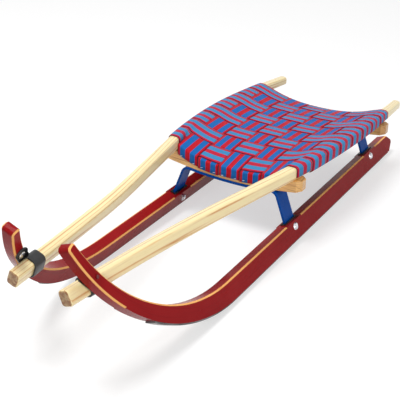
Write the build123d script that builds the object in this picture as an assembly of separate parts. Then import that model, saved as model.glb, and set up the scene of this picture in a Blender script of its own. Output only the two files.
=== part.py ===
"""Sport luge sled: two canted wooden runners with horns, two bowed rails on two
yokes and steel brackets, and a seat woven from webbing.

Frame: X across the sled, Y along it with the horns at -Y, Z up from the floor.
The origin lies on the floor, under the middle of the rails. Millimetres.
"Left" is the rider's left, lying feet first, which is +X.
"""
from build123d import *
from math import acos, atan2, cos, degrees, hypot, pi, radians, sin, sqrt
import os

# Runner: a bent lamination, drawn in its own leaning plane.
# y runs along the sled, t up the plane, s outwards across its thickness.
cant_deg = 20.4               # lean of both runners, tops inwards
gauge = 257.5                 # between the steel strips' inner edges, on the floor
runner_width = 24.0           # across s
runner_depth = 36.7           # wood, up t, on the straight
runner_rear_y = 537.0         # heel of the runner
bend_start_y = -206.0         # underside starts to rise
back_start_after = 11.6       # top side starts to rise this much further on
bend_radius = 347.0           # wood's underside in the horn
back_radius_less = 23.0       # wood's upper side in the horn is this much tighter
horn_height = 258.0           # tip, up the plane
tip_radius = 6.0              # rounded corners of the tip
heel_length = 24.0            # wedge at the heel
heel_nose_height = 21.0       # its point, up the plane
heel_radius = 5.0
bevel = 2.5                   # chamfered edges, left bare of lacquer
bevel_break = 30.0            # no bevel this far to either side of a leg
bevel_front_angle = 49.5      # round the bend, where the underside's bevel ends

# Steel running strip under each runner
strip_thickness = 3.0
strip_width = 19.0
strip_start_angle = 37.5      # how far round the bend it reaches

# Rail: a bowed and tapered bar, at equally spaced stations from front to rear.
rail_front_y = -538.5
rail_rear_y = 538.5
rail_corner = 6.0             # rounded long edges
rail_end_bevel = 2.5
rail_stations = [
    # centre x, top z, width, height, lean in degrees
    (48.2, 171.8, 20.5, 26.5, 21.0),
    (62.9, 168.2, 21.0, 26.5, 16.0),
    (82.0, 163.4, 21.5, 26.0, 7.0),
    (109.3, 161.0, 21.5, 25.5, 0.0),
    (135.4, 158.5, 22.0, 25.5, 0.0),
    (148.6, 152.0, 22.5, 25.0, 0.0),
    (149.8, 139.8, 21.0, 22.5, 0.0),
    (142.4, 125.0, 18.5, 19.5, 0.0),
]

# Yokes and brackets: one pair under the front of the seat, one under its rear
bridge_ys = {"front": 36.5, "rear": 415.0}
yoke_length_y = 32.0          # along the sled
yoke_overhang = 10.0          # past the rail's outer side
yoke_thickness = 17.0         # in the middle
yoke_end_thickness = 20.0     # left under the rail's notch
yoke_sag = 13.5               # underside, middle below ends
yoke_hollow = 24.3            # top side, middle below ends
yoke_corner = 9.0             # clipped corners of its ends in plan
rail_seat_gap = 0.3           # rail to yoke

bracket_width = 36.0          # along the sled
bracket_thickness = 4.5
bracket_bend = 12.0           # inside radius of its bends
bracket_gap = 0.3             # yoke to bracket

# Foot: the leg stands in a slot in the runner's top and takes one bolt
bolt_height = 28.0            # above the floor line, up the plane
bolt_radius = 4.0
bolt_clearance = 0.1          # in the wood
foot_hole_clearance = 0.6     # in the steel foot, for the tilt
foot_below_bolt = 8.0
foot_end_gap = 2.5            # foot to slot floor
slot_side_gap = 1.4           # leg to the slot's cheeks
slot_end_gap = 2.5            # leg to the slot's ends
dome_radius = 7.5
dome_height = 3.5
corner_flats = 3              # flats in which a strap or a band turns a rail's corner
nut_radius = 7.0
nut_height = 5.5
gasket_height = 2.5           # rubber frame round the slot's mouth
gasket_width = 2.5
seat_gap = 0.3                # soft or loose piece to what carries it

# Strap that ties each rail's front end to its horn
strap_y = -486.0              # where it goes round the rail
strap_width = 26.0
strap_thickness = 2.2
strap_gap = 0.7               # strap to rail
strap_bolt_height = 194.0     # up the plane, in the middle of the horn
strap_bolt_radius = 3.0
strap_head_radius = 6.5
strap_head_height = 1.8       # low, to clear the rail as the runner tilts

# Woven seat
webbing_width = 50.0
webbing_thickness = 1.6
weave_gap = 0.3               # between two crossing bands
cross_count = 8
cross_pitch = 52.0
cross_first_y = 49.6          # middle of the front cross band
long_count = 5
long_pitches = (46.5, 51.0)   # the long bands fan out from the front to the rear
long_fill = 0.98              # share of the pitch that the band takes
dips_front = (37.5, 33.5, 21.0)  # below the rails, at the long bands' edges outwards
dips_rear = (28.0, 21.5, 8.0)
wrap_gap = 0.5                # band to rail
wrap_return = 14.0            # tucked under the rail
fold_gap = 0.6                # long band's fold to the outermost cross band
fold_corner = 3.0             # rounding of a long band's fold
hem_length = 19.0             # long band's end, down the front yoke's face
rear_hem_length = 19.0        # down the rear yoke's

cant = radians(cant_deg)
runner_base = strip_thickness
strip_inset = (runner_width - strip_width) / 2


def runner_point(y, t, s):
    """A point of the left runner in the sled's frame."""
    out = s - strip_inset
    return Vector(
        gauge / 2 + out * cos(cant) - t * sin(cant),
        y,
        out * sin(cant) + t * cos(cant),
    )


def runner_plane(s=0.0):
    """Left runner's plane: local x is y, local y is t, normal is s."""
    return Plane(origin=runner_point(0, 0, s), x_dir=(0, 1, 0), z_dir=(cos(cant), 0, sin(cant)))


def on_circle(centre, radius, angle_deg):
    """Point on a bend: 0 is straight down, growing towards the horn."""
    angle = radians(angle_deg)
    return (centre[0] - radius * sin(angle), centre[1] - radius * cos(angle))


def bend_angle(centre, radius, t):
    """Angle round a bend at which its curve reaches height t."""
    return degrees(atan2(sqrt(radius**2 - (centre[1] - t) ** 2), centre[1] - t))


def bend_arc(centre, radius, a0, a1):
    return ThreePointArc(
        on_circle(centre, radius, a0),
        on_circle(centre, radius, (a0 + a1) / 2),
        on_circle(centre, radius, a1),
    )


back_radius = bend_radius - back_radius_less
back_start_y = bend_start_y - back_start_after
bend_centre = (bend_start_y, runner_base + bend_radius)
back_centre = (back_start_y, runner_base + runner_depth + back_radius)


def horn_middle(t):
    """Middle of the horn's thickness at height t."""
    under = on_circle(bend_centre, bend_radius, bend_angle(bend_centre, bend_radius, t))
    back = on_circle(back_centre, back_radius, bend_angle(back_centre, back_radius, t))
    return (under[0] + back[0]) / 2


strap_bolt_y = horn_middle(strap_bolt_height)


def runner_outline():
    under_end = bend_angle(bend_centre, bend_radius, horn_height - 6)
    back_end = bend_angle(back_centre, back_radius, horn_height)
    top_t = runner_base + runner_depth
    heel_y = runner_rear_y - heel_length
    nose = (runner_rear_y, heel_nose_height)
    under = bend_arc(bend_centre, bend_radius, 0, under_end)
    back = bend_arc(back_centre, back_radius, back_end, 0)
    edges = [
        Line((heel_y, runner_base), (bend_start_y, runner_base)),
        under,
        Line(under @ 1, back @ 0),
        back,
        Line(back @ 1, (heel_y, top_t)),
        Line((heel_y, top_t), nose),
        Line(nose, (heel_y, runner_base)),
    ]
    face = make_face(edges)
    face = fillet([v for v in face.vertices() if v.X > runner_rear_y - 1], heel_radius)
    tips = [v for v in face.vertices() if v.Y > horn_height - 10]
    return fillet(tips, tip_radius)


def unbevelled_zones():
    """Parts of the runner whose edges stay sharp, in its own plane."""
    top = runner_base + runner_depth
    low = Line((runner_rear_y, runner_base - 1), (bend_start_y, runner_base - 1))
    outer = bend_arc(bend_centre, bend_radius + 1, 0, bevel_front_angle)
    inner = bend_arc(bend_centre, bend_radius - 10, bevel_front_angle, 0)
    high = Line((bend_start_y, runner_base + 10), (runner_rear_y, runner_base + 10))
    rear = Line((runner_rear_y, runner_base + 10), (runner_rear_y, runner_base - 1))
    zones = [make_face([low, outer, Line(outer @ 1, inner @ 0), inner, high, rear])]
    for y in bridge_ys.values():
        zones.append(Pos(y, top) * Rectangle(2 * bevel_break, 20))
    return zones


def bolt_axis(y, t, s0, s1, radius):
    """Solid round bar across the runner, from s0 to s1."""
    plane = runner_plane(s0)
    return extrude(plane * (Pos(y, t) * Circle(radius)), amount=s1 - s0)


foot_bottom = bolt_height - foot_below_bolt
slot_floor = foot_bottom - foot_end_gap
slot_half = bracket_thickness / 2 + slot_side_gap
mid_s = runner_width / 2
runner_top = runner_base + runner_depth


def runner():
    plain = extrude(runner_plane() * runner_outline(), amount=runner_width)
    inner_face = plain.faces().sort_by(lambda f: (f.center() - runner_point(0, 0, 0)).dot(
        runner_plane().z_dir))
    long_edges = [
        e for face in (inner_face[0], inner_face[-1]) for e in face.edges()
        if e.center().Y < runner_rear_y - heel_length + 1
    ]
    body = chamfer(long_edges, bevel)
    for zone in unbevelled_zones():
        body += plain & extrude(runner_plane(-1) * zone, amount=runner_width + 2)
    for y in bridge_ys.values():
        slot_length = bracket_width + 2 * slot_end_gap
        slot = extrude(
            runner_plane(mid_s - slot_half)
            * (Pos(y, (slot_floor + runner_top + 20) / 2)
               * Rectangle(slot_length, runner_top + 20 - slot_floor)),
            amount=2 * slot_half,
        )
        body -= slot
        body -= bolt_axis(y, bolt_height, -5, runner_width + 5, bolt_radius + bolt_clearance)
    body -= bolt_axis(
        strap_bolt_y, strap_bolt_height, -5, runner_width + 5, strap_bolt_radius + bolt_clearance
    )
    return body


def running_strip():
    outer = bend_radius + strip_thickness
    low = bend_arc(bend_centre, outer, 0, strip_start_angle)
    high = bend_arc(bend_centre, bend_radius, strip_start_angle, 0)
    rear = runner_rear_y - heel_length - 2
    edges = [
        Line((rear, 0), (bend_start_y, 0)),
        low,
        Line(low @ 1, high @ 0),
        high,
        Line((bend_start_y, runner_base), (rear, runner_base)),
        Line((rear, runner_base), (rear, 0)),
    ]
    plane = runner_plane((runner_width - strip_width) / 2)
    return extrude(plane * make_face(edges), amount=strip_width)


def domed_head(plane, y, t, radius, height):
    """Low domed bolt head, turned in two steps; a height below 0 faces inwards."""
    profile = make_face(Plane.XZ * Polyline(
        (0, 0), (radius, 0), (0.78 * radius, 0.65 * height),
        (0.33 * radius, height), (0, height), close=True,
    ))
    return plane * Pos(y, t) * revolve(profile, Axis.Z)


def through_bolt(y):
    """Domed bolt from outside, nut on the inner face."""
    shank = bolt_axis(y, bolt_height, -nut_height - 2, runner_width + 0.5, bolt_radius)
    head = domed_head(runner_plane(runner_width), y, bolt_height, dome_radius, dome_height)
    nut = extrude(
        runner_plane(-nut_height) * (Pos(y, bolt_height) * RegularPolygon(nut_radius, 6)),
        amount=nut_height,
    )
    return shank + head + nut


def slot_gasket(y):
    """Rubber frame on the runner's top, round the leg."""
    plane = Plane(
        origin=runner_point(y, runner_top, mid_s),
        x_dir=(0, 1, 0),
        z_dir=(-sin(cant), 0, cos(cant)),
    )
    inner_y = bracket_width + 2 * slot_end_gap
    inner_s = 2 * slot_half
    ring = Rectangle(inner_y + 2 * gasket_width, inner_s + 2 * gasket_width)
    ring -= Rectangle(inner_y, inner_s)
    return extrude(plane * ring, amount=gasket_height)


def smooth(values, u):
    """Smooth curve through equally spaced values; u counts stations."""
    last = len(values) - 1
    slopes = [(values[k + 1] - values[k - 1]) / 2 for k in range(1, last)]
    slopes.insert(0, 2 * (values[1] - values[0]) - slopes[0])
    slopes.append(2 * (values[last] - values[last - 1]) - slopes[-1])
    i = min(max(int(u), 0), last - 1)
    f = u - i
    return (
        values[i] * (2 * f**3 - 3 * f**2 + 1)
        + slopes[i] * (f**3 - 2 * f**2 + f)
        + values[i + 1] * (3 * f**2 - 2 * f**3)
        + slopes[i + 1] * (f**3 - f**2)
    )


def rail_at(y):
    """Centre x, top z, width, height and lean of the rail at y."""
    pitch = (rail_rear_y - rail_front_y) / (len(rail_stations) - 1)
    u = (y - rail_front_y) / pitch
    return [smooth(column, u) for column in zip(*rail_stations)]


def rail_plane(y):
    """Plane across the rail at y, leaning with it."""
    x, top, width, height, lean = rail_at(y)
    return Plane(
        origin=(x, y, top - height / 2),
        x_dir=(cos(radians(lean)), 0, sin(radians(lean))),
        z_dir=(0, -1, 0),
    )


def rail_outline(y, grow=0.0):
    """Rail's rounded section at y, or one drawn in at its ends."""
    x, top, width, height, lean = rail_at(y)
    return rail_plane(y) * RectangleRounded(
        width + 2 * grow, height + 2 * grow, rail_corner + grow
    )


def turn(centre, radius, start, end, flats):
    """Points round a corner in flats, between two angles in degrees."""
    angles = [radians(start + (end - start) * k / flats) for k in range(flats + 1)]
    return [(centre[0] + radius * cos(a), centre[1] + radius * sin(a)) for a in angles]


def rail_wrap(y, gap):
    """Outline that stands off the rail by gap, its corners in flats."""
    x, top, width, height, lean = rail_at(y)
    half_x, half_z = width / 2 - rail_corner, height / 2 - rail_corner
    ring = []
    for k, (side, rise) in enumerate(((1, 1), (-1, 1), (-1, -1), (1, -1))):
        centre = (side * half_x, rise * half_z)
        ring += turn(centre, rail_corner + gap, 90 * k, 90 * k + 90, corner_flats)
    return rail_plane(y) * make_face(Polyline(*ring, close=True))


def rail():
    count = 3 * (len(rail_stations) - 1)
    front, rear = rail_front_y + rail_end_bevel, rail_rear_y - rail_end_bevel
    step = (rear - front) / count
    sections = [rail_outline(rail_front_y, -rail_end_bevel)]
    sections += [rail_outline(front + k * step) for k in range(count + 1)]
    sections.append(rail_outline(rail_rear_y, -rail_end_bevel))
    return loft(sections, ruled=True)


def yoke(y):
    """Bent lamination, notched at its ends for the rails."""
    x, top, width, height, lean = rail_at(y)
    seat_z = top - height - rail_seat_gap
    end_x = x + width / 2 + yoke_overhang
    notch_x = x - width / 2 - 2
    low_end = seat_z - yoke_end_thickness
    low_mid = low_end - yoke_sag
    under = ThreePointArc((-end_x, low_end), (0, low_mid), (end_x, low_end))
    top_mid = low_mid + yoke_thickness
    over = ThreePointArc(
        (end_x, top_mid + yoke_hollow), (0, top_mid), (-end_x, top_mid + yoke_hollow)
    )
    outline = make_face([under, Line(under @ 1, over @ 0), over, Line(over @ 1, under @ 0)])
    plane = Plane(origin=(0, y + yoke_length_y / 2, 0), x_dir=(1, 0, 0), z_dir=(0, -1, 0))
    body = extrude(plane * outline, amount=yoke_length_y)
    ends = [e for e in body.edges().filter_by(Axis.Z) if abs(e.center().X) > end_x - 1]
    body = chamfer(ends, yoke_corner)
    half = yoke_length_y / 2 + 1
    front, rear = rail_at(y - half), rail_at(y + half)
    notch = make_face(Polyline(
        (y - half, front[1] - front[3] - rail_seat_gap),
        (y + half, rear[1] - rear[3] - rail_seat_gap),
        (y + half, seat_z + 40),
        (y - half, seat_z + 40),
        close=True,
    ))
    for side in (1, -1):
        cut = extrude(Plane.YZ.offset(side * notch_x) * notch, amount=side * 80)
        body -= cut
    return body


def bracket(y):
    """Flat bar bent into two leaning legs and a bar that follows the yoke."""
    x, top, width, height, lean = rail_at(y)
    end_x = x + width / 2 + yoke_overhang
    low_mid = top - height - rail_seat_gap - yoke_end_thickness - yoke_sag
    yoke_radius = (end_x**2 + yoke_sag**2) / (2 * yoke_sag)
    centre = Pos(0, low_mid + yoke_radius)
    inside = centre * Circle(yoke_radius + bracket_gap)
    outside = centre * Circle(yoke_radius + bracket_gap + bracket_thickness)
    foot = runner_point(y, foot_bottom, mid_s)
    reach = 160.0
    half = bracket_thickness / 2

    def leg_point(up, out, side=1):
        return (
            side * (foot.X - up * sin(cant) + out * cos(cant)),
            foot.Z + up * cos(cant) + out * sin(cant),
        )

    between = make_face(Polyline(
        leg_point(0, half), leg_point(reach, half),
        leg_point(reach, half, -1), leg_point(0, half, -1), close=True,
    ))
    shape = (outside - inside) & between
    for side in (1, -1):
        leg = make_face(Polyline(
            leg_point(0, -half, side), leg_point(0, half, side),
            leg_point(reach, half, side), leg_point(reach, -half, side), close=True,
        ))
        shape += leg - inside
    tops = [v for v in shape.vertices() if v.Y > foot.Z + 15]
    bends = sorted(tops, key=lambda v: v.Y)
    shape = fillet(bends[:2], bracket_bend)
    tops = [v for v in shape.vertices() if v.Y > foot.Z + 15]
    top_z = max(v.Y for v in tops)
    shape = fillet([v for v in tops if v.Y > top_z - 0.01], bracket_bend + bracket_thickness)
    plane = Plane(origin=(0, y + bracket_width / 2, 0), x_dir=(1, 0, 0), z_dir=(0, -1, 0))
    body = extrude(plane * shape, amount=bracket_width)
    hole = bolt_axis(y, bolt_height, -20, runner_width + 20, bolt_radius + foot_hole_clearance)
    return body - hole - mirror(hole, about=Plane.YZ)


def strap():
    """Rubber strap: a loop round the rail and a tongue bolted to the horn."""
    half = strap_width / 2
    y0, y1 = strap_y - half, strap_y + half
    loop = loft([rail_wrap(y, strap_gap + strap_thickness) for y in (y0, y1)], ruled=True)
    inner = loft([rail_wrap(y, strap_gap) for y in (y0, y1)], ruled=True)
    root_t = strap_bolt_height - 45
    tongue = make_face(Polyline(
        (y0, root_t), (y1, root_t),
        (strap_bolt_y + half, strap_bolt_height), (strap_bolt_y + half, strap_bolt_height + half),
        (strap_bolt_y - half, strap_bolt_height + half), (strap_bolt_y - half, strap_bolt_height),
        close=True,
    ))
    tongue = fillet([v for v in tongue.vertices() if v.Y > strap_bolt_height + 1], half - 1)
    back = -seat_gap - strap_thickness
    tongue = extrude(runner_plane(back) * tongue, amount=strap_thickness)
    hole = bolt_axis(
        strap_bolt_y, strap_bolt_height, -20, runner_width, strap_bolt_radius + bolt_clearance
    )
    return loop + tongue - inner - hole


def strap_bolt():
    """Domed screw through the strap's tongue and the horn."""
    head_s = -2 * seat_gap - strap_thickness
    shank = bolt_axis(
        strap_bolt_y, strap_bolt_height, head_s - 0.5, runner_width + 2, strap_bolt_radius
    )
    plane = runner_plane(head_s)
    return shank + domed_head(
        plane, strap_bolt_y, strap_bolt_height, strap_head_radius, -strap_head_height
    )


def along_seat(y, values):
    """Value at y, between one at the seat's front edge and one at its rear edge."""
    front = cross_first_y - webbing_width / 2
    rear = front + (cross_count - 1) * cross_pitch + webbing_width
    return values[0] + (values[1] - values[0]) * (y - front) / (rear - front)


def long_edge_x(j, side, y):
    return (j + side * long_fill / 2) * along_seat(y, long_pitches)


def dip_at_edge(j, side, y):
    """How far the seat hangs below the rails at a long band's edge."""
    place = max(abs(j) + (0 if side * j < 0 else 1) - 1, 0)
    return along_seat(y, (dips_front[place], dips_rear[place]))


half_web = webbing_width / 2
weave_offset = (webbing_thickness + weave_gap) / 2
cross_ys = [cross_first_y + i * cross_pitch for i in range(cross_count)]
long_ids = range(-(long_count // 2), long_count // 2 + 1)


def seat_height(y):
    """Underside of webbing that lies on the rails at y."""
    return rail_at(y)[1] + wrap_gap


def cross_goes_over(i, j):
    return (i + j) % 2 == 1


def leaving_angle(centre, radius, point):
    """Angle at which a straight line to the point leaves the rail's inner corner."""
    dx, dz = point[0] - centre[0], point[1] - centre[1]
    return degrees(atan2(dz, dx) % (2 * pi) - acos(radius / hypot(dx, dz)))


def cross_section(i, y):
    """Half of a cross band's section at y, from mid width round the rail."""
    base = seat_height(y)
    x, top, width, height, lean = rail_at(y)
    lower = []
    for j in range(0, long_count // 2 + 1):
        lift = weave_offset if cross_goes_over(i, j) else -weave_offset
        for side in (-1, 1):
            edge_x = long_edge_x(j, side, y)
            if j == 0 and side < 0:
                edge_x = 0
            z = base - dip_at_edge(j, side, y) + lift - webbing_thickness / 2
            lower.append((edge_x, z))
    upper = [(px, pz + webbing_thickness) for px, pz in lower]
    on_yoke = any(
        abs(cross_ys[i] - by) < (webbing_width + yoke_length_y) / 2 + 2
        for by in bridge_ys.values()
    )
    side_x = x + width / 2 - rail_corner
    high = (side_x, top - rail_corner)
    low = (side_x, top - height + rail_corner)
    inside = (x - width / 2 + rail_corner, top - rail_corner)
    lines = []
    for line, grow in ((lower, wrap_gap), (upper, wrap_gap + webbing_thickness)):
        radius = rail_corner + grow
        line += turn(inside, radius, leaving_angle(inside, radius, line[-1]), 90, 2)
        line += turn(high, radius, 90, 0, corner_flats)
        if on_yoke:
            line.append((line[-1][0], low[1]))
        else:
            line += turn(low, radius, 0, -90, corner_flats)
            line.append((line[-1][0] - wrap_return, line[-1][1]))
        lines.append(line)
    ring = lines[0] + lines[1][::-1]
    return Wire(Polyline(*[Vector(px, y, pz) for px, pz in ring], close=True).edges())


def cross_band(i):
    y = cross_ys[i]
    sections = [cross_section(i, y + side * half_web) for side in (-1, 1)]
    half = Solid.make_loft(sections, ruled=True)
    return half + mirror(half, about=Plane.YZ)


def long_band_edge(j, side):
    """Closed outline of a long band's edge, all in one upright plane."""
    line = []
    for i, y in enumerate(cross_ys):
        lift = -weave_offset if cross_goes_over(i, j) else weave_offset
        for edge_y in (y - half_web, y + half_web):
            z = seat_height(edge_y) - dip_at_edge(j, side, edge_y)
            line.append((edge_y, z + lift - webbing_thickness / 2))
    t = webbing_thickness
    c = fold_corner
    front_y = bridge_ys["front"] - yoke_length_y / 2 - seat_gap
    rear_y = cross_ys[-1] + half_web + fold_gap
    face_y = bridge_ys["rear"] + yoke_length_y / 2 + seat_gap
    zf, zr = line[0][1], line[-1][1]
    inner = [(front_y, zf - hem_length), (front_y, zf - c), (front_y + c, zf)]
    inner += line
    inner += [(rear_y - 0.5, zr), (rear_y, zr - 0.5), (rear_y, zr - c)]
    inner += [(face_y, zr - 3 * c), (face_y, zr - rear_hem_length)]
    outer = [(front_y - t, zf - hem_length), (front_y - t, zf - c), (front_y - t + c, zf + t)]
    outer += [(py, pz + t) for py, pz in line]
    outer += [(rear_y - 0.5, zr + t), (rear_y + t, zr - 0.5), (rear_y + t, zr - c - t)]
    outer += [(face_y + t, zr - 3 * c - t), (face_y + t, zr - rear_hem_length)]
    ring = inner + outer[::-1]
    return Polyline(*[Vector(long_edge_x(j, side, y), y, z) for y, z in ring], close=True)


def long_band(j):
    """Band along the sled: folded over the front yoke and the last cross band."""
    edges = [Wire(long_band_edge(j, side).edges()) for side in (-1, 1)]
    return Solid.make_loft(edges, ruled=True)


def write(name, shape):
    shape = shape.solid() if len(shape.solids()) == 1 else shape
    shape.label = name
    export_step(shape, f"parts/{name}.step")


os.makedirs("parts", exist_ok=True)

left_pieces = {
    "rail": rail(),
    "runner": runner(),
    "running_strip": running_strip(),
    "horn_strap": strap(),
    "horn_strap_bolt": strap_bolt(),
}
for place, bridge_y in bridge_ys.items():
    left_pieces[f"{place}_bolt"] = through_bolt(bridge_y)
    left_pieces[f"{place}_slot_gasket"] = slot_gasket(bridge_y)
    write(f"{place}_yoke", yoke(bridge_y))
    write(f"{place}_bracket", bracket(bridge_y))
for piece_name, piece in left_pieces.items():
    write(f"{piece_name}_left", piece)
    write(f"{piece_name}_right", mirror(piece, about=Plane.YZ))
for number in range(cross_count):
    write(f"cross_band_{number + 1}", cross_band(number))
for number, column in enumerate(long_ids):
    write(f"long_band_{number + 1}", long_band(column))
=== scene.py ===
from math import acos, atan2, cos, hypot, pi, radians, sin

import bpy
from mathutils import Matrix, Vector


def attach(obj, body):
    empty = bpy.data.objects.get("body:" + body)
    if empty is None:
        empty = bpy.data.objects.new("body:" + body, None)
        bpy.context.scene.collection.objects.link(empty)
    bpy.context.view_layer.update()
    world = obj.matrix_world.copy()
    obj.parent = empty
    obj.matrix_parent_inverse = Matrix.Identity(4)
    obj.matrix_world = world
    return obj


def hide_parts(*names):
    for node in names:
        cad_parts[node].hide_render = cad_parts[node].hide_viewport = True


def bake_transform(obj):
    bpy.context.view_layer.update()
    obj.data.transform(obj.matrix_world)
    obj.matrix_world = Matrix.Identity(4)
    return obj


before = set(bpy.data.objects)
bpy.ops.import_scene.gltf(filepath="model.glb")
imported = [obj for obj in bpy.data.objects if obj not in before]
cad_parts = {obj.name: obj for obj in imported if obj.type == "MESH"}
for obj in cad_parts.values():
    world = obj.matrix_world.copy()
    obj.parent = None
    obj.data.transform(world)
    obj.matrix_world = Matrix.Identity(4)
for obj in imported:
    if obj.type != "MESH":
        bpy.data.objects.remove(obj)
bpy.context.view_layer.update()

# Rails: two steam-bent ash bars, clear varnished, that carry the seat and end in handles.
# Straight grain follows their bend, with a few thin dark growth lines.

MM = 0.001
RAIL_FRONT_Y, RAIL_REAR_Y = -538.5, 538.5
RAIL_STATIONS = [
    # centre x, top z, width, height, lean in degrees
    (48.2, 171.8, 20.5, 26.5, 21.0),
    (62.9, 168.2, 21.0, 26.5, 16.0),
    (82.0, 163.4, 21.5, 26.0, 7.0),
    (109.3, 161.0, 21.5, 25.5, 0.0),
    (135.4, 158.5, 22.0, 25.5, 0.0),
    (148.6, 152.0, 22.5, 25.0, 0.0),
    (149.8, 139.8, 21.0, 22.5, 0.0),
    (142.4, 125.0, 18.5, 19.5, 0.0),
]


def colour(r, g, b):
    """A colour as seen on screen, 0 to 255, as the shader's own values."""
    return tuple(
        (v / 255 / 12.92) if v <= 10 else ((v / 255 + 0.055) / 1.055) ** 2.4
        for v in (r, g, b)
    ) + (1.0,)


def add(tree, kind, inputs=None, **settings):
    """New node; its inputs take a number, a colour or another node's socket."""
    node = tree.nodes.new(kind)
    for key, value in settings.items():
        setattr(node, key, value)
    for key, value in (inputs or {}).items():
        if isinstance(value, bpy.types.NodeSocket):
            tree.links.new(value, node.inputs[key])
        else:
            node.inputs[key].default_value = value
    return node


def calc(tree, operation, *values):
    """Result of a Math node on numbers or sockets."""
    inputs = dict(enumerate(values))
    return add(tree, "ShaderNodeMath", inputs, operation=operation).outputs[0]


def mix(tree, factor, a, b):
    """Colour a where the factor is 0, b where it is 1."""
    node = add(tree, "ShaderNodeMix", data_type="RGBA")
    for key, value in ((0, factor), (6, a), (7, b)):
        if isinstance(value, bpy.types.NodeSocket):
            tree.links.new(value, node.inputs[key])
        else:
            node.inputs[key].default_value = value
    return node.outputs[2]


def position(tree):
    """Where a point is on the sled, in metres."""
    return add(tree, "ShaderNodeTexCoord").outputs["Object"]


def split(tree, vector):
    """The x, y and z of a vector."""
    return add(tree, "ShaderNodeSeparateXYZ", {0: vector}).outputs


def join(tree, x, y, z):
    """Vector from three sockets."""
    return add(tree, "ShaderNodeCombineXYZ", {0: x, 1: y, 2: z}).outputs[0]


def ease(tree, value, low, high, start=0.0, end=1.0):
    """Value eased from start to end as it goes from low to high."""
    inputs = {0: value, 1: low, 2: high, 3: start, 4: end}
    return add(tree, "ShaderNodeMapRange", inputs, interpolation_type="SMOOTHSTEP").outputs[0]


def new_group(name, inputs, outputs):
    """Empty shader node group with named sockets, and its input and output nodes."""
    group = bpy.data.node_groups.new(name, "ShaderNodeTree")
    kinds = {"value": "NodeSocketFloat", "colour": "NodeSocketColor", "vector": "NodeSocketVector"}
    for socket_name, kind, default in inputs:
        socket = group.interface.new_socket(
            name=socket_name, in_out="INPUT", socket_type=kinds[kind]
        )
        if default is not None:
            socket.default_value = default
    for socket_name, kind in outputs:
        group.interface.new_socket(name=socket_name, in_out="OUTPUT", socket_type=kinds[kind])
    return group, group.nodes.new("NodeGroupInput").outputs, group.nodes.new("NodeGroupOutput")


def use_group(tree, group, **inputs):
    """Places a node group with its own values, and returns its outputs."""
    node = tree.nodes.new("ShaderNodeGroup")
    node.node_tree = group
    for key, value in inputs.items():
        socket = node.inputs[key.replace("_", " ")]
        if isinstance(value, bpy.types.NodeSocket):
            tree.links.new(value, socket)
        else:
            socket.default_value = value
    return node.outputs


def new_material(name, **values):
    """Material with its Principled BSDF; values are set on the shader's own sockets."""
    material = bpy.data.materials.new(name)
    material.use_nodes = True
    shader = material.node_tree.nodes["Principled BSDF"]
    for key, value in values.items():
        shader.inputs[key.replace("_", " ")].default_value = value
    return material, material.node_tree, shader


def finish_surface(tree, shader, height, strength, distance, base, roughness):
    """Links a surface's relief, colour and roughness to its shader."""
    bump = add(tree, "ShaderNodeBump", {"Height": height, "Strength": strength,
                                        "Distance": distance})
    tree.links.new(bump.outputs[0], shader.inputs["Normal"])
    tree.links.new(base, shader.inputs["Base Color"])
    tree.links.new(roughness, shader.inputs["Roughness"])


def dress(node_names, material):
    """Gives CAD nodes a material."""
    for name in node_names:
        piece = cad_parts[name]
        piece.data.materials.clear()
        piece.data.materials.append(material)


# Wood: the vector's z runs along the grain, in metres.
grain, given, out = new_group(
    "wood_grain",
    [("Vector", "vector", None), ("Pale", "colour", (0.8, 0.7, 0.5, 1)),
     ("Dark", "colour", (0.4, 0.25, 0.1, 1)), ("Ring pitch", "value", 0.008),
     ("Ring strength", "value", 0.5), ("Pore strength", "value", 0.4)],
    [("Color", "colour"), ("Height", "value"), ("Roughness", "value")],
)
long_way = add(grain, "ShaderNodeMapping", {"Vector": given["Vector"], "Scale": (1, 1, 0.022)})
drift = add(grain, "ShaderNodeTexNoise", {"Vector": long_way.outputs[0], "Scale": 28.0,
                                          "Detail": 3.0})
parts = split(grain, given["Vector"])
across = calc(grain, "ADD", parts[0], calc(grain, "MULTIPLY", parts[1], 0.6))
rings = calc(grain, "ADD", calc(grain, "DIVIDE", across, given["Ring pitch"]),
             calc(grain, "MULTIPLY", drift.outputs[0], 6.0))
# Late wood: one thin dark line in each ring.
ring = calc(grain, "MULTIPLY", calc(grain, "PINGPONG", rings, 0.5), 2.0)
ring = calc(grain, "POWER", ring, 7.0)
ring = calc(grain, "MULTIPLY", ring, given["Ring strength"])
stretched = add(grain, "ShaderNodeMapping", {"Vector": given["Vector"], "Scale": (1, 1, 0.03)})
pores = add(grain, "ShaderNodeTexNoise", {"Vector": stretched.outputs[0], "Scale": 900.0,
                                          "Detail": 2.0})
pore = ease(grain, pores.outputs[0], 0.52, 0.68)
broad = add(grain, "ShaderNodeTexNoise", {"Vector": long_way.outputs[0], "Scale": 9.0})
tint = calc(grain, "MULTIPLY", calc(grain, "SUBTRACT", broad.outputs[0], 0.42), 0.35)
amount = calc(grain, "ADD", calc(grain, "ADD", ring, tint),
              calc(grain, "MULTIPLY", pore, calc(grain, "MULTIPLY", given["Pore strength"], 0.5)))
clamped = add(grain, "ShaderNodeClamp", {0: amount})
grain.links.new(mix(grain, clamped.outputs[0], given["Pale"], given["Dark"]), out.inputs[0])
grain.links.new(calc(grain, "SUBTRACT", 1.0, calc(grain, "MULTIPLY", pore,
                                                  given["Pore strength"])), out.inputs[1])
grain.links.new(ease(grain, drift.outputs[0], 0.3, 0.7, 0.22, 0.34), out.inputs[2])


# The top of the curves' range, in mm.
CURVE_TOP = 200.0


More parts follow.
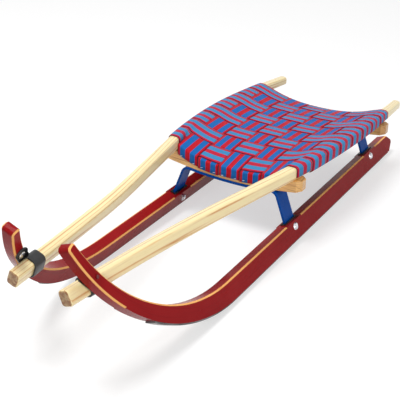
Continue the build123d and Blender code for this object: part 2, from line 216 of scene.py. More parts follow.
def along_rail(tree, y, column):
    """Curve through one column of the rail's stations at y, in metres."""
    share = calc(tree, "DIVIDE", calc(tree, "SUBTRACT", y, RAIL_FRONT_Y * MM),
                 (RAIL_REAR_Y - RAIL_FRONT_Y) * MM)
    node = add(tree, "ShaderNodeFloatCurve", {"Value": share})
    points = node.mapping.curves[0].points
    last = len(RAIL_STATIONS) - 1
    points[0].location = (0, RAIL_STATIONS[0][column] / CURVE_TOP)
    points[1].location = (1, RAIL_STATIONS[last][column] / CURVE_TOP)
    for k in range(1, last):
        points.new(k / last, RAIL_STATIONS[k][column] / CURVE_TOP)
    node.mapping.update()
    return calc(tree, "MULTIPLY", node.outputs[0], CURVE_TOP * MM)


pale_ash, tree, shader = new_material("pale_ash", Coat_Weight=0.35, Coat_Roughness=0.12)
at = split(tree, position(tree))
# The bars were bent after planing, so the grain follows the bend.
from_middle = calc(tree, "SUBTRACT", calc(tree, "ABSOLUTE", at[0]), along_rail(tree, at[1], 0))
from_top = calc(tree, "SUBTRACT", at[2], along_rail(tree, at[1], 1))
vector = join(tree, from_middle, from_top, at[1])
ash = use_group(tree, grain, Vector=vector, Pale=colour(255, 238, 182),
                Dark=colour(208, 138, 66), Ring_pitch=0.0068, Ring_strength=0.9,
                Pore_strength=0.3)
# Cut across the grain at both ends, where it looks darker.
end_face = RAIL_REAR_Y * MM
end_grain = ease(tree, calc(tree, "ABSOLUTE", at[1]), end_face - 0.0017, end_face - 0.0011)
cut_fibres = add(tree, "ShaderNodeTexNoise", {"Vector": vector, "Scale": 190.0, "Detail": 3.0})
cut_fibres = ease(tree, cut_fibres.outputs[0], 0.35, 0.65, 0.7, 1.0)
base = mix(tree, calc(tree, "MULTIPLY", end_grain, cut_fibres), ash["Color"], colour(140, 88, 38))
finish_surface(tree, shader, ash["Height"], 0.25, 0.0004, base, ash["Roughness"])
dress(("rail_left", "rail_right"), pale_ash)

# Yokes: two bent laminations under the rails, of ash strips glued flat on each other.
# Their glue lines show on the faces, and their clipped ends are darker.

LAYER_THICKNESS = 4.2
CLIP_START, CLIP_END = 138.0, 166.0
YOKE_BEND = 0.55    # rise in metres, a metre from the middle
yoke_wood, tree, shader = new_material("yoke_wood", Coat_Weight=0.3, Coat_Roughness=0.15)
at = split(tree, position(tree))
amber = use_group(tree, grain, Vector=join(tree, at[1], at[2], at[0]),
                  Pale=colour(248, 196, 120), Dark=colour(178, 110, 50),
                  Ring_pitch=0.01, Ring_strength=0.7, Pore_strength=0.5)
# The layers rise from the middle with the square of the distance.
bend = calc(tree, "MULTIPLY", calc(tree, "MULTIPLY", at[0], at[0]), YOKE_BEND)
layer = calc(tree, "DIVIDE", calc(tree, "SUBTRACT", at[2], bend), LAYER_THICKNESS * MM)
glue = ease(tree, calc(tree, "PINGPONG", layer, 0.5), 0.0, 0.09, 1.0, 0.0)
clipped = ease(tree, calc(tree, "ABSOLUTE", at[0]), CLIP_START * MM, CLIP_END * MM)
base = mix(tree, calc(tree, "MULTIPLY", glue, 0.55), amber["Color"], colour(120, 74, 36))
base = mix(tree, calc(tree, "MULTIPLY", clipped, 0.5), base, colour(150, 90, 40))
height = calc(tree, "SUBTRACT", amber["Height"], calc(tree, "MULTIPLY", glue, 0.4))
finish_surface(tree, shader, height, 0.3, 0.0004, base, amber["Roughness"])
dress(("front_yoke", "rear_yoke"), yoke_wood)

# Brackets: flat steel bar, bent into two leaning legs under each yoke, in blue enamel.
# The enamel is smooth, a little uneven, and darker where it thins at the edges.

enamel, given, out = new_group(
    "enamel_coat",
    [("Vector", "vector", None), ("Main", "colour", (0, 0.1, 0.4, 1)),
     ("Deep", "colour", (0, 0.03, 0.15, 1)), ("Scale", "value", 30.0)],
    [("Color", "colour"), ("Height", "value"), ("Roughness", "value")],
)
flow = add(enamel, "ShaderNodeTexNoise", {"Vector": given["Vector"], "Scale": given["Scale"],
                                          "Detail": 2.0})
peel = add(enamel, "ShaderNodeTexNoise", {"Vector": given["Vector"], "Scale": 700.0,
                                          "Detail": 1.0})
edge = add(enamel, "ShaderNodeNewGeometry").outputs["Pointiness"]
worn = ease(enamel, edge, 0.52, 0.62)
shade = calc(enamel, "ADD", calc(enamel, "MULTIPLY", flow.outputs[0], 0.5),
             calc(enamel, "MULTIPLY", worn, 0.4))
enamel.links.new(mix(enamel, shade, given["Main"], given["Deep"]), out.inputs[0])
enamel.links.new(calc(enamel, "ADD", flow.outputs[0],
                      calc(enamel, "MULTIPLY", peel.outputs[0], 0.15)), out.inputs[1])
enamel.links.new(ease(enamel, flow.outputs[0], 0.3, 0.7, 0.16, 0.3), out.inputs[2])

blue_enamel, tree, shader = new_material("blue_enamel", Coat_Weight=0.02, Coat_Roughness=0.12,
                                         Specular_IOR_Level=0.05)
blue = use_group(tree, enamel, Vector=position(tree), Main=colour(0, 88, 184),
                 Deep=colour(0, 56, 132), Scale=30.0)
finish_surface(tree, shader, blue["Height"], 0.15, 0.0004, blue["Color"], blue["Roughness"])
dress(("front_bracket", "rear_bracket"), blue_enamel)

# Runners: each is bent from thin strips glued side by side and lacquered dark red.
# Its long edges are planed off to the bare wood, apart from the stretches at the legs.

CANT = radians(20.4)
GAUGE = 257.5
RUNNER_BASE = 3.0
STRIP_INSET = 2.5
GLUED_STRIP = 4.8
BEND_START_Y = -206.0
BEND_RADIUS = 347.0


def runner_point(y, t, s):
    """A point of the left runner: t up its plane, s outwards across it, in mm."""
    side = s - STRIP_INSET
    return Vector((GAUGE / 2 + side * cos(CANT) - t * sin(CANT), y,
                   side * sin(CANT) + t * cos(CANT)))


red_lacquer, tree, shader = new_material("red_lacquer", Coat_Weight=0.03, Coat_Roughness=0.08,
                                         Specular_IOR_Level=0.04)
at = split(tree, position(tree))
facing = split(tree, add(tree, "ShaderNodeTexCoord").outputs["Normal"])
# t goes up the runner's plane and s outwards across it, as in runner_point.
outwards = calc(tree, "SUBTRACT", calc(tree, "ABSOLUTE", at[0]), GAUGE / 2 * MM)
t = calc(tree, "SUBTRACT", calc(tree, "MULTIPLY", at[2], cos(CANT)),
         calc(tree, "MULTIPLY", outwards, sin(CANT)))
s = calc(tree, "ADD", calc(tree, "MULTIPLY", at[2], sin(CANT)),
         calc(tree, "MULTIPLY", outwards, cos(CANT)))
# How far a face looks across the runner: 1 on its sides, 0 on its top and underside.
facing_out = calc(tree, "MULTIPLY", facing[0], calc(tree, "SIGN", at[0]))
sideways = calc(tree, "ABSOLUTE", calc(tree, "ADD", calc(tree, "MULTIPLY", facing[2], sin(CANT)),
                                       calc(tree, "MULTIPLY", facing_out, cos(CANT))))
# Along the grain: down the straight, then round the bend.
back_y = calc(tree, "SUBTRACT", BEND_START_Y * MM, at[1])
down_t = calc(tree, "SUBTRACT", (RUNNER_BASE + BEND_RADIUS) * MM, t)
angle = add(tree, "ShaderNodeClamp", {0: calc(tree, "ARCTAN2", back_y, down_t), 1: 0.0,
                                      2: 3.2}).outputs[0]
along = calc(tree, "ADD", calc(tree, "MINIMUM", back_y, 0.0),
             calc(tree, "MULTIPLY", angle, BEND_RADIUS * MM))
radius = calc(tree, "SQRT", calc(tree, "ADD", calc(tree, "MULTIPLY", back_y, back_y),
                                 calc(tree, "MULTIPLY", down_t, down_t)))
in_bend = ease(tree, back_y, -0.002, 0.002)
depth = calc(tree, "ADD",
             calc(tree, "MULTIPLY", calc(tree, "SUBTRACT", BEND_RADIUS * MM, radius), in_bend),
             calc(tree, "MULTIPLY", calc(tree, "SUBTRACT", t, RUNNER_BASE * MM),
                  calc(tree, "SUBTRACT", 1.0, in_bend)))
vector = join(tree, s, depth, along)
wood = use_group(tree, grain, Vector=vector, Pale=colour(250, 186, 112),
                 Dark=colour(206, 126, 58), Ring_pitch=0.004, Ring_strength=0.4,
                 Pore_strength=0.4)
red = use_group(tree, enamel, Vector=vector, Main=colour(163, 28, 31), Deep=colour(132, 16, 20),
                Scale=22.0)
streaks = add(tree, "ShaderNodeMapping", {"Vector": vector, "Scale": (1, 1, 0.02)})
fibres = add(tree, "ShaderNodeTexNoise", {"Vector": streaks.outputs[0], "Scale": 420.0,
                                          "Detail": 2.0}).outputs[0]
joint = calc(tree, "PINGPONG", calc(tree, "DIVIDE", s, GLUED_STRIP * MM), 0.5)
glue = ease(tree, joint, 0.0, 0.06, 1.0, 0.0)
glue = calc(tree, "MULTIPLY", glue, ease(tree, sideways, 0.2, 0.3, 1.0, 0.0))
lacquer = mix(tree, ease(tree, fibres, 0.5, 0.75, 0.0, 0.3), red["Color"], colour(88, 10, 18))
lacquer = mix(tree, calc(tree, "MULTIPLY", glue, 0.45), lacquer, colour(74, 8, 16))
# Bare wood on the planed edges, which look neither up nor sideways.
bare = calc(tree, "MULTIPLY", ease(tree, sideways, 0.45, 0.55),
            ease(tree, sideways, 0.85, 0.93, 1.0, 0.0))
base = mix(tree, bare, lacquer, wood["Color"])
height = calc(tree, "SUBTRACT", calc(tree, "ADD", wood["Height"],
                                     calc(tree, "MULTIPLY", red["Height"], 0.6)),
              calc(tree, "MULTIPLY", glue, 0.6))
finish_surface(tree, shader, height, 0.16, 0.0004, base, red["Roughness"])
dress(("runner_left", "runner_right"), red_lacquer)

# Running strips: plain steel bars fixed under the runners, from the heel to part-way up
# the horn. Fine scratches run lengthwise, and darker stains lie over them.

strip_steel, tree, shader = new_material("strip_steel", Metallic=1.0)
where = position(tree)
drawn = add(tree, "ShaderNodeMapping", {"Vector": where, "Scale": (1, 0.02, 1)})
scratches = add(tree, "ShaderNodeTexNoise", {"Vector": drawn.outputs[0], "Scale": 1500.0,
                                             "Detail": 3.0}).outputs[0]
stain = add(tree, "ShaderNodeTexNoise", {"Vector": where, "Scale": 24.0, "Detail": 4.0}).outputs[0]
base = mix(tree, ease(tree, stain, 0.35, 0.7), colour(120, 118, 118), colour(74, 70, 70))
finish_surface(tree, shader, scratches, 0.2, 0.0002, base,
               ease(tree, scratches, 0.3, 0.7, 0.24, 0.42))
dress(("running_strip_left", "running_strip_right"), strip_steel)

# Bolts: domed bolts through the runners hold the bracket legs, each with a nut inside,
# and a low domed screw holds each strap. All are bright zinc, spotted by use, and only
# the strap screws' outer ends are lacquered over with the horn.

HORNS_START_Y, HORNS_MIDDLE_X = -450.0, 70.0
zinc_bolt, tree, shader = new_material("zinc_bolt", Metallic=1.0)
where = position(tree)
at = split(tree, where)
spots = add(tree, "ShaderNodeTexNoise", {"Vector": where, "Scale": 260.0, "Detail": 3.0}).outputs[0]
base = mix(tree, ease(tree, spots, 0.45, 0.7), colour(226, 226, 230), colour(168, 168, 176))
painted = calc(tree, "MULTIPLY", calc(tree, "LESS_THAN", at[1], HORNS_START_Y * MM),
               calc(tree, "GREATER_THAN", calc(tree, "ABSOLUTE", at[0]), HORNS_MIDDLE_X * MM))
base = mix(tree, painted, base, colour(104, 8, 12))
tree.links.new(calc(tree, "SUBTRACT", 1.0, painted), shader.inputs["Metallic"])
finish_surface(tree, shader, spots, 0.12, 0.0002, base, ease(tree, spots, 0.3, 0.7, 0.16, 0.34))
BOLTS = ("front_bolt_left", "rear_bolt_left", "horn_strap_bolt_left",
         "front_bolt_right", "rear_bolt_right", "horn_strap_bolt_right")
dress(BOLTS, zinc_bolt)

# Slot gaskets: moulded rubber frames in the mouths of the runners' slots, round the
# bracket legs. They are black, with a faint grey bloom.

rubber, given, out = new_group(
    "rubber_skin",
    [("Vector", "vector", None), ("Black", "colour", (0.01, 0.01, 0.01, 1)),
     ("Bloom", "colour", (0.06, 0.06, 0.06, 1))],
    [("Color", "colour"), ("Height", "value"), ("Roughness", "value")],
)
dust = add(rubber, "ShaderNodeTexNoise", {"Vector": given["Vector"], "Scale": 70.0,
                                          "Detail": 4.0}).outputs[0]
skin = add(rubber, "ShaderNodeTexNoise", {"Vector": given["Vector"], "Scale": 1400.0,
                                          "Detail": 2.0}).outputs[0]
rubber.links.new(mix(rubber, ease(rubber, dust, 0.4, 0.75), given["Black"], given["Bloom"]),
                 out.inputs[0])
rubber.links.new(skin, out.inputs[1])
rubber.links.new(ease(rubber, dust, 0.3, 0.7, 0.3, 0.46), out.inputs[2])

black_rubber, tree, shader = new_material("black_rubber")
black = use_group(tree, rubber, Vector=position(tree), Black=colour(17, 17, 19),
                  Bloom=colour(42, 42, 44))
finish_surface(tree, shader, black["Height"], 0.2, 0.0002, black["Color"], black["Roughness"])
GASKETS = [f"{end}_slot_gasket_{side}" for end in ("front", "rear")
           for side in ("left", "right")]
dress(GASKETS, black_rubber)

# Horn straps: a rubber strap goes round each rail's front end and is screwed to the horn
# beside it.

RAIL_CORNER = 6.0
STRAP_Y, STRAP_WIDTH, STRAP_THICKNESS, STRAP_GAP = -486.0, 26.0, 2.2, 0.7
STRAP_EDGE, STRAP_CROWN = 0.7, 0.25
STRAP_BOLT_Y, STRAP_BOLT_T = -504.2, 194.0
TONGUE_LENGTH, TONGUE_ROUND = 26.0, 0.98    # the round end stops just short of a point
CONTACT_GAP = 0.3    # between pieces that touch


def rail_at(y):
    """Centre x, top z, width, height and lean of the rail at y, in mm and degrees."""
    last = len(RAIL_STATIONS) - 1
    u = (y - RAIL_FRONT_Y) / (RAIL_REAR_Y - RAIL_FRONT_Y) * last
    i = min(max(int(u), 0), last - 1)
    f = u - i
    row = []
    for values in zip(*RAIL_STATIONS):
        slopes = [(values[k + 1] - values[k - 1]) / 2 for k in range(1, last)]
        slopes.insert(0, 2 * (values[1] - values[0]) - slopes[0])
        slopes.append(2 * (values[last] - values[last - 1]) - slopes[-1])
        row.append(
            values[i] * (2 * f**3 - 3 * f**2 + 1)
            + slopes[i] * (f**3 - 2 * f**2 + f)
            + values[i + 1] * (3 * f**2 - 2 * f**3)
            + slopes[i + 1] * (f**3 - f**2)
        )
    return row


def rail_ring(y, gap, count):
    """Points round the rail at y, gap outside its skin, as (x, z) in mm."""
    x, top, width, height, lean = rail_at(y)
    half_x, half_z = width / 2 - RAIL_CORNER, height / 2 - RAIL_CORNER
    radius, lean = RAIL_CORNER + gap, radians(lean)
    ring = []
    for k, (sx, sz) in enumerate(((1, 1), (-1, 1), (-1, -1), (1, -1))):
        for n in range(count):
            a = (k + n / (count - 1)) * pi / 2
            px, pz = sx * half_x + radius * cos(a), sz * half_z + radius * sin(a)
            ring.append((x + px * cos(lean) - pz * sin(lean),
                         top - height / 2 + px * sin(lean) + pz * cos(lean)))
    return ring


def solid_from_rings(rings, closed):
    """Vertices and faces of a skin through rings of points; closed joins last to first."""
    count = len(rings[0])
    points = [p for ring in rings for p in ring]
    faces = []
    for a in range(len(rings) - (0 if closed else 1)):
        b = (a + 1) % len(rings)
        for k in range(count):
            n = (k + 1) % count
            faces.append((a * count + k, a * count + n, b * count + n, b * count + k))
    if not closed:
        faces.append(tuple(range(count))[::-1])
        last = (len(rings) - 1) * count
        faces.append(tuple(range(last, last + count)))
    return points, faces


def strap_skin():
    """The left strap: a loop round the rail, and a tongue to its screw."""
    half, lift = STRAP_WIDTH / 2, STRAP_THICKNESS
    lanes = [(-half, 0.0), (-half, lift - STRAP_EDGE), (-half + STRAP_EDGE, lift),
             (0.0, lift + STRAP_CROWN),
             (half - STRAP_EDGE, lift), (half, lift - STRAP_EDGE), (half, 0.0)]
    outlines = [rail_ring(STRAP_Y + dy, STRAP_GAP + dz, 7) for dy, dz in lanes]
    rings = [[Vector((lane[k][0], STRAP_Y + dy, lane[k][1]))
              for lane, (dy, dz) in zip(outlines, lanes)] for k in range(len(outlines[0]))]
    points, faces = solid_from_rings(rings, True)
    # Tongue: stations from inside the loop to the round end past the screw.
    root = Vector((STRAP_Y, STRAP_BOLT_T - TONGUE_LENGTH))
    tip = Vector((STRAP_BOLT_Y, STRAP_BOLT_T))
    stations = []
    for k in range(9):
        centre = root.lerp(tip, k / 8)
        stations.append((centre.x - half, centre.x + half, centre.y))
    for k in range(1, 9):
        a = k / 8 * pi / 2 * TONGUE_ROUND
        stations.append((tip.x - half * cos(a), tip.x + half * cos(a), tip.y + half * sin(a)))
    inner, outer = -CONTACT_GAP, -CONTACT_GAP - lift
    rings = []
    for y0, y1, height in stations:
        edge = min(STRAP_EDGE, (y1 - y0) / 4)
        lane = [(y0, inner), (y0, outer + edge), (y0 + edge, outer), (y1 - edge, outer),
                (y1, outer + edge), (y1, inner)]
        rings.append([runner_point(y, height, depth) for y, depth in lane])
    more, more_faces = solid_from_rings(rings, False)
    offset = len(points)
    points += more
    faces += [tuple(i + offset for i in face) for face in more_faces]
    return points, faces


def new_piece(name, points, faces, material, side=1, smooth_angle=40):
    """Mesh piece from points in mm; side -1 mirrors it to the right."""
    mesh = bpy.data.meshes.new(name)
    mesh.from_pydata([(side * p[0] * MM, p[1] * MM, p[2] * MM) for p in points], [],
                     [f if side > 0 else f[::-1] for f in faces])
    mesh.validate()
    piece = bpy.data.objects.new(name, mesh)
    bpy.context.scene.collection.objects.link(piece)
    mesh.materials.append(material)
    mesh.shade_smooth()
    mesh.set_sharp_from_angle(angle=radians(smooth_angle))
    return piece


for side, word in ((1, "left"), (-1, "right")):
    points, faces = strap_skin()
    strap = new_piece(f"rubber_strap_{word}", points, faces, black_rubber, side)
    x, top, width = rail_at(STRAP_Y)[:3]
    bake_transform(strap)
    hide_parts(f"horn_strap_{word}")

# Woven seat: striped polyester webbing, 50 mm wide. Eight bands are wrapped round the
# rails and five run along the sled, woven over and under them, then folded and stapled
# at both yokes.

WEB_WIDTH, WEB_THICKNESS, WEAVE_OFFSET = 50.0, 1.5, 0.95
CROSS_PITCH, CROSS_FIRST_Y, CROSS_COUNT, LONG_COUNT = 52.0, 49.6, 8, 5
LONG_PITCHES, LONG_FILL = (46.5, 51.0), 0.98
# Below the rails at half, one and a half and two and a half pitches from the middle.
DIPS_FRONT, DIPS_MIDDLE, DIPS_REAR = (34.0, 28.5, 12.0), (19.0, 17.0, 4.7), (26.5, 20.5, 5.0)
FRONT_SLOPE, REAR_SLOPE = 150.0, 130.0
WRAP_GAP, WRAP_RETURN, WRAP_START = 0.5, 14.0, 3.0
WEAVE_REACH, EDGE_REACH = 4.0, 5.0
FRONT_HEM, REAR_HEM = 21.0, 19.0
FRONT_FOLD, REAR_FOLD = 3.0, 2.0
BAND_STEPS, CROSS_STEPS, LONG_STEPS = 8, 44, 240
OUTER_BAND = LONG_COUNT // 2    # long bands count from the middle, -2 to 2
YOKE_YS, YOKE_LENGTH_Y = {"front": 36.5, "rear": 415.0}, 32.0
YOKE_MARGIN, LAST_BAND_GAP = 2.0, 0.6
SEAT_FRONT = CROSS_FIRST_Y - WEB_WIDTH / 2
SEAT_REAR = SEAT_FRONT + (CROSS_COUNT - 1) * CROSS_PITCH + WEB_WIDTH


def along_seat(y, values):
    """Value at y, from those at the seat's front and rear."""
    return values[0] + (values[1] - values[0]) * (y - SEAT_FRONT) / (SEAT_REAR - SEAT_FRONT)


def seat_dip(x, y):
    """How far the seat hangs below the rails, on one smooth curve across."""
    u = abs(x) / along_seat(y, LONG_PITCHES)
    front = max(1 - max(y - SEAT_FRONT, 0) / FRONT_SLOPE, 0) ** 2
    rear = max(1 - max(SEAT_REAR - y, 0) / REAR_SLOPE, 0) ** 2
    d0, d1, d2 = (m + (f - m) * front + (r - m) * rear
                  for f, m, r in zip(DIPS_FRONT, DIPS_MIDDLE, DIPS_REAR))
    c = ((d0 - d2) - 3 * (d0 - d1)) / 24
    b = ((d0 - d1) - 5 * c) / 2
    return d0 + b / 4 + c / 16 - b * u**2 - c * u**4


def seat_level(x, y):
    """Height of the seat's middle surface."""
    return rail_at(y)[1] + WRAP_GAP - seat_dip(x, y)


def eased_sign(before, after, distance, reach):
    """Goes from one side of the weave to the other over twice the reach."""
    f = min(max((distance + reach) / (2 * reach), 0), 1)
    f = f * f * (3 - 2 * f)
    return before + (after - before) * f


def cross_over(i, j):
    """1 where cross band i goes over long band j, -1 where it goes under."""
    return 1 if (i + j) % 2 == 1 else -1


def cross_lift(i, x, pitch):
    """How far cross band i lies above the middle surface, or below it where negative."""
    j = min(max(round(x / pitch), -OUTER_BAND), OUTER_BAND)
    f = x / pitch - j
    k = j + (1 if f > 0 else -1)
    if abs(k) > OUTER_BAND:
        return WEAVE_OFFSET * eased_sign(cross_over(i, j), 0, (abs(f) - 0.5) * pitch,
                                          EDGE_REACH)
    return WEAVE_OFFSET * eased_sign(cross_over(i, j), cross_over(i, k),
                                     (abs(f) - 0.5) * pitch, WEAVE_REACH)


def turn(centre, radius, start, end, steps):
    """Points along an arc round the centre, from one angle to another."""
    return [(centre[0] + radius * cos(start + (end - start) * k / steps),
             centre[1] + radius * sin(start + (end - start) * k / steps))
            for k in range(steps + 1)]


def cross_half(i, y):
    """Half of a cross band's line at y: from mid width, over the rail and under it."""
    pitch = along_seat(y, LONG_PITCHES)
    reach = LONG_COUNT / 2 * pitch + WRAP_START
    line = []
    for k in range(CROSS_STEPS + 1):
        x = reach * k / CROSS_STEPS
        line.append((x, seat_level(x, y) + cross_lift(i, x, pitch)))
    x, top, width, height = rail_at(y)[:4]
    radius = RAIL_CORNER + WRAP_GAP + WEB_THICKNESS / 2
    inside = (x - width / 2 + RAIL_CORNER, top - RAIL_CORNER)
    high = (x + width / 2 - RAIL_CORNER, top - RAIL_CORNER)
    low = (x + width / 2 - RAIL_CORNER, top - height + RAIL_CORNER)
    dx, dz = line[-1][0] - inside[0], line[-1][1] - inside[1]
    # The straight stretch leaves the rail's round edge as a tangent.
    leave = atan2(dz, dx) % (2 * pi) - acos(min(radius / hypot(dx, dz), 1))
    line += turn(inside, radius, max(leave, pi / 2 + 0.05), pi / 2, 5)
    line += turn(high, radius, pi / 2, 0, 6)
    # Over a yoke there is no room under the rail, so the band ends on its outer side.
    middle_y = CROSS_FIRST_Y + i * CROSS_PITCH
    clear_of_yoke = (WEB_WIDTH + YOKE_LENGTH_Y) / 2 + YOKE_MARGIN
    if any(abs(middle_y - yoke_y) < clear_of_yoke for yoke_y in YOKE_YS.values()):
        line.append((line[-1][0], low[1]))
    else:
        line += turn(low, radius, 0, -pi / 2, 6)
        line.append((line[-1][0] - WRAP_RETURN, line[-1][1]))
    return line


def long_line(j, side):
    """Line of a long band at one place across it, side -1 to 1, hems included."""
    def at(y, z):
        return Vector(((j + side * LONG_FILL / 2) * along_seat(y, LONG_PITCHES), y, z))

    front = YOKE_YS["front"] - YOKE_LENGTH_Y / 2 - CONTACT_GAP - WEB_THICKNESS / 2
    rear = SEAT_REAR + LAST_BAND_GAP + WEB_THICKNESS / 2
    face = YOKE_YS["rear"] + YOKE_LENGTH_Y / 2 + CONTACT_GAP + WEB_THICKNESS / 2
    body = []
    for step in range(LONG_STEPS + 1):
        y = SEAT_FRONT + (SEAT_REAR - SEAT_FRONT) * step / LONG_STEPS
        i = min(max(round((y - CROSS_FIRST_Y) / CROSS_PITCH), 0), CROSS_COUNT - 1)
        f = (y - CROSS_FIRST_Y) / CROSS_PITCH - i
        k = i + (1 if f > 0 else -1)
        sign = -cross_over(i, j)
        if 0 <= k < CROSS_COUNT:
            sign = eased_sign(sign, -cross_over(k, j), (abs(f) - 0.5) * CROSS_PITCH,
                              WEAVE_REACH)
        x = (j + side * LONG_FILL / 2) * along_seat(y, LONG_PITCHES)
        body.append(at(y, seat_level(x, y) + WEAVE_OFFSET * sign))
    zf, zr = body[0].z, body[-1].z
    # In front, up the yoke's face and over its edge.
    hem = [at(front, zf - FRONT_HEM), at(front, zf - 12), at(front, zf - 5)]
    hem += [at(front + FRONT_FOLD - FRONT_FOLD * cos(a), zf - FRONT_FOLD + FRONT_FOLD * sin(a))
            for a in (0.0, 0.4, 0.8, 1.2)]
    # Behind, round the last cross band, in under it and down the rear yoke's face.
    fold = [at(rear - REAR_FOLD + REAR_FOLD * sin(a), zr - REAR_FOLD + REAR_FOLD * cos(a))
            for a in (0.3, 0.8, 1.2, 1.57)]
    fold += [at(rear, zr - 3.6), at(rear - 1.0, zr - 5.2), at(face + 3, zr - 8.6),
             at(face + 0.4, zr - 10), at(face, zr - 12), at(face, zr - REAR_HEM)]
    return hem + body + fold


def web_band(name, lanes, material, nodes):
    """One band of webbing from lines side by side, with its across and along on a UV map."""
    rows = len(lanes[0])
    lengths = [0.0]
    middle = lanes[len(lanes) // 2]
    for a, b in zip(middle, middle[1:]):
        lengths.append(lengths[-1] + (b - a).length * MM)
    points = [p for lane in lanes for p in lane]
    faces = [(a * rows + k, a * rows + k + 1, (a + 1) * rows + k + 1, (a + 1) * rows + k)
             for a in range(len(lanes) - 1) for k in range(rows - 1)]
    band = new_piece(name, points, faces, material, smooth_angle=180)
    across_along = band.data.uv_layers.new(name="webbing")
    for corner in band.data.loops:
        lane, row = divmod(corner.vertex_index, rows)
        across_along.data[corner.index].uv = (lane / (len(lanes) - 1), lengths[row])
    thick = band.modifiers.new("thickness", "SOLIDIFY")
    thick.thickness = WEB_THICKNESS * MM
    thick.offset = 0.0
    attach(band, "frame")
    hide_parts(*nodes)
    return band


RIB_PITCH, PICK_PITCH = 1.25, 1.7
MIDDLE_STRIPE, EDGE_STRIPE, STRIPE_BLUR = 0.114, 0.374, 0.004


def webbing_material(name, blue, red):
    """Plain-woven ribs under five stripes: red edges and middle, with blue between."""
    material, tree, shader = new_material(name, Sheen_Weight=0.14, Sheen_Roughness=0.35,
                                          Sheen_Tint=(0.80, 0.80, 1.0, 1.0),
                                          Specular_IOR_Level=0.15)
    uv = add(tree, "ShaderNodeUVMap", uv_map="webbing").outputs[0]
    across_at, along_at = split(tree, uv)[:2]
    fray = add(tree, "ShaderNodeTexNoise", {"Vector": uv, "Scale": 900.0, "Detail": 1.0})
    shift = calc(tree, "MULTIPLY", calc(tree, "SUBTRACT", fray.outputs[0], 0.5), 0.006)
    across = calc(tree, "ADD", across_at, shift)
    mirrored = calc(tree, "ABSOLUTE", calc(tree, "SUBTRACT", across, 0.5))
    middle = ease(tree, mirrored, MIDDLE_STRIPE - STRIPE_BLUR, MIDDLE_STRIPE + STRIPE_BLUR,
                  1.0, 0.0)
    edges = ease(tree, mirrored, EDGE_STRIPE - STRIPE_BLUR, EDGE_STRIPE + STRIPE_BLUR)
    red_part = calc(tree, "MAXIMUM", middle, edges)
    base = mix(tree, red_part, blue, red)
    warp = calc(tree, "MULTIPLY", across_at, 2 * pi * WEB_WIDTH / RIB_PITCH)
    weft = calc(tree, "MULTIPLY", along_at, 2 * pi / (PICK_PITCH * MM))
    cell = calc(tree, "MULTIPLY", calc(tree, "SINE", warp), calc(tree, "COSINE", weft))
    rib = calc(tree, "ABSOLUTE", calc(tree, "SINE", calc(tree, "MULTIPLY", warp, 0.5)))
    threads = calc(tree, "ADD", calc(tree, "MULTIPLY", cell, 0.35), rib)
    dirt = add(tree, "ShaderNodeTexNoise", {"Vector": position(tree), "Scale": 18.0,
                                            "Detail": 4.0})
    # Painted shade between the threads, dust over them, and painted shade along the band's edges.
    base = mix(tree, ease(tree, threads, 0.1, 0.9, 0.2, 0.0), base, colour(24, 24, 70))
    base = mix(tree, ease(tree, dirt.outputs[0], 0.45, 0.8, 0.0, 0.06), base,
               colour(120, 118, 130))
    # Painted shade: a thin dark line along both edges of the band, where neighbouring bands meet.
    base = mix(tree, ease(tree, mirrored, 0.476, 0.49, 0.0, 0.75), base, colour(56, 12, 44))
    finish_surface(tree, shader, threads, 0.5, 0.0003, base,
                   ease(tree, dirt.outputs[0], 0.3, 0.7, 0.55, 0.7))
    return material


# One webbing in two copies: the cross bands' lighter colours are painted sheen, the long bands'
# darker colours painted shade.
cross_webbing_painted_sheen = webbing_material("cross_webbing_painted_sheen", colour(62, 144, 198), colour(200, 26, 58))
long_webbing_painted_shade = webbing_material("long_webbing_painted_shade", colour(12, 106, 186), colour(200, 12, 32))

for i in range(CROSS_COUNT):
    lanes = []
    for k in range(BAND_STEPS + 1):
        y = CROSS_FIRST_Y + i * CROSS_PITCH + (k / BAND_STEPS - 0.5) * WEB_WIDTH
        half = [Vector((x, y, z)) for x, z in cross_half(i, y)]
        lanes.append([Vector((-p.x, p.y, p.z)) for p in half[:0:-1]] + half)
    web_band(f"cross_webbing_painted_sheen_{i + 1}", lanes, cross_webbing_painted_sheen, [f"cross_band_{i + 1}"])
for number in range(LONG_COUNT):
    lanes = [long_line(number - OUTER_BAND, 2 * k / BAND_STEPS - 1)
             for k in range(BAND_STEPS + 1)]
    web_band(f"long_webbing_painted_shade_{number + 1}", lanes, long_webbing_painted_shade, [f"long_band_{number + 1}"])

# Staples: two hold each long band's hem to the front yoke's face, and two more hold its
# rear hem to the rear yoke. Their wire is 1 mm thick and coated white.

staple_wire, tree, shader = new_material("staple_wire", Metallic=0.3)
spots = add(tree, "ShaderNodeTexNoise", {"Vector": position(tree), "Scale": 600.0}).outputs[0]
base = mix(tree, spots, colour(246, 246, 244), colour(205, 205, 205))
finish_surface(tree, shader, spots, 0.1, 0.0001, base, ease(tree, spots, 0.3, 0.7, 0.3, 0.45))

STAPLE_DROP, STAPLE_SPREAD = 18.0, 0.62
STAPLE_HALF, STAPLE_SLANT, STAPLE_RISE, STAPLE_SUNK, WIRE_RADIUS = 2.2, 0.5, 0.75, 0.35, 0.5
OVER_YOKE = YOKE_LENGTH_Y / 2 + CONTACT_GAP + WEB_THICKNESS


def staple_rings(x, y, z, direction):
    """Rings of wire along a crown that stands out from the webbing, towards -Y or +Y."""
    rings = []
    for k in range(9):
        a = -pi / 2 + pi * k / 8
        out_y = y + direction * STAPLE_RISE * max(cos(a), 0.0) ** 0.5 - direction * STAPLE_SUNK
        middle = Vector((x + STAPLE_HALF * sin(a), out_y, z + STAPLE_SLANT * sin(a)))
        rings.append([middle + Vector((0, WIRE_RADIUS * cos(b), WIRE_RADIUS * sin(b)))
                      for b in (0, pi / 3, 2 * pi / 3, pi, 4 * pi / 3, 5 * pi / 3)])
    return rings


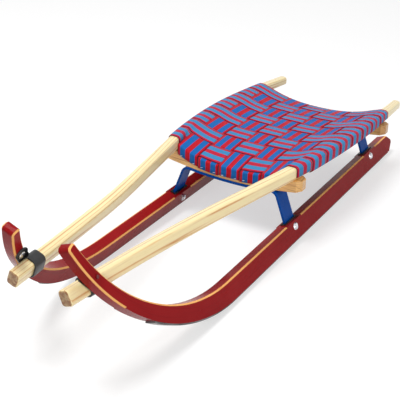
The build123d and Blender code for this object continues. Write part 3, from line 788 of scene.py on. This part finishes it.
points, faces = [], []
for row_y, edge_y, direction in ((YOKE_YS["front"] - OVER_YOKE, SEAT_FRONT, -1),
                                 (YOKE_YS["rear"] + OVER_YOKE, SEAT_REAR, 1)):
    for j in range(-OUTER_BAND, OUTER_BAND + 1):
        for side in (-0.5, 0.5):
            x = (j + side * LONG_FILL * STAPLE_SPREAD) * along_seat(row_y, LONG_PITCHES)
            z = seat_level(x, edge_y) - STAPLE_DROP
            more, more_faces = solid_from_rings(staple_rings(x, row_y, z, direction), False)
            faces += [tuple(n + len(points) for n in face) for face in more_faces]
            points += more
staples = new_piece("hem_staples", points, faces, staple_wire)
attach(staples, "frame")

# Floor, light and camera: a pale studio floor, soft light from above and from the near
# side, and the photograph's viewpoint.

FLOOR_HALF, FLOOR_GAP, FLOOR_GLOW = 9.0, 0.0004, 0.56
SKY_LIGHT, SKY_SEEN = 0.42, 1.0


def seen_directly(tree):
    """1 for rays from the camera or off a shiny face, 0 for those that light the sled."""
    path = add(tree, "ShaderNodeLightPath").outputs
    return calc(tree, "MAXIMUM", path["Is Camera Ray"],
                calc(tree, "MAXIMUM", path["Is Glossy Ray"], path["Is Transmission Ray"]))


floor_mesh = bpy.data.meshes.new("studio_floor")
floor_mesh.from_pydata([(x * FLOOR_HALF, y * FLOOR_HALF, 0)
                        for x, y in ((-1, -1), (1, -1), (1, 1), (-1, 1))], [], [(0, 1, 2, 3)])
floor = bpy.data.objects.new("studio_floor", floor_mesh)
floor.location.z = -FLOOR_GAP
bpy.context.scene.collection.objects.link(floor)
pale_floor, tree, shader = new_material("pale_floor", Roughness=0.9)
shader.inputs["Base Color"].default_value = (0.5, 0.5, 0.5, 1)
shader.inputs["Emission Color"].default_value = (1, 1, 1, 1)
tree.links.new(calc(tree, "MULTIPLY", seen_directly(tree), FLOOR_GLOW),
               shader.inputs["Emission Strength"])
floor_mesh.materials.append(pale_floor)

world = bpy.data.worlds.new("studio")
bpy.context.scene.world = world
world.use_nodes = True
tree = world.node_tree
background = tree.nodes["Background"].inputs
background["Color"].default_value = (1, 1, 1, 1)
sky = ease(tree, seen_directly(tree), 0.0, 1.0, SKY_LIGHT, SKY_SEEN)
tree.links.new(sky, background["Strength"])


def soft_lamp(name, place, target, size, watts):
    """Round lamp that looks from its place at the target."""
    lamp = bpy.data.lights.new(name, "AREA")
    lamp.shape, lamp.size, lamp.energy = "DISK", size, watts
    holder = bpy.data.objects.new(name, lamp)
    holder.location = place
    aim = Vector(target) - Vector(place)
    holder.rotation_euler = aim.to_track_quat("-Z", "Y").to_euler()
    bpy.context.scene.collection.objects.link(holder)


soft_lamp("key", (-0.6, -0.7, 2.8), (0, 0, 0.1), 1.2, 54)
soft_lamp("fill", (2.7, -1.7, 0.8), (0, 0, 0.1), 2.0, 38)

azimuth, elevation, roll = radians(30.64), radians(27.59), radians(0.98)
target, distance, focal = Vector((-3.86, -80.36, 100.47)), 1707.28, 927.66
back = Vector((sin(azimuth) * cos(elevation), -cos(azimuth) * cos(elevation), sin(elevation)))
right = Vector((cos(azimuth), sin(azimuth), 0))
up = back.cross(right)
side_axis = cos(roll) * right + sin(roll) * up
up_axis = -sin(roll) * right + cos(roll) * up
SENSOR, PICTURE_WIDTH = 36.0, 400
camera_data = bpy.data.cameras.new("camera")
camera_data.sensor_width = SENSOR
camera_data.lens = focal / PICTURE_WIDTH * SENSOR
camera_data.clip_start, camera_data.clip_end = 0.05, 50.0
camera = bpy.data.objects.new("camera", camera_data)
bpy.context.scene.collection.objects.link(camera)
camera.matrix_world = Matrix.Translation((target + back * distance) * MM) @ Matrix(
    (side_axis, up_axis, back)).transposed().to_4x4()
bpy.context.scene.camera = camera
bpy.context.scene.view_settings.view_transform = "Standard"
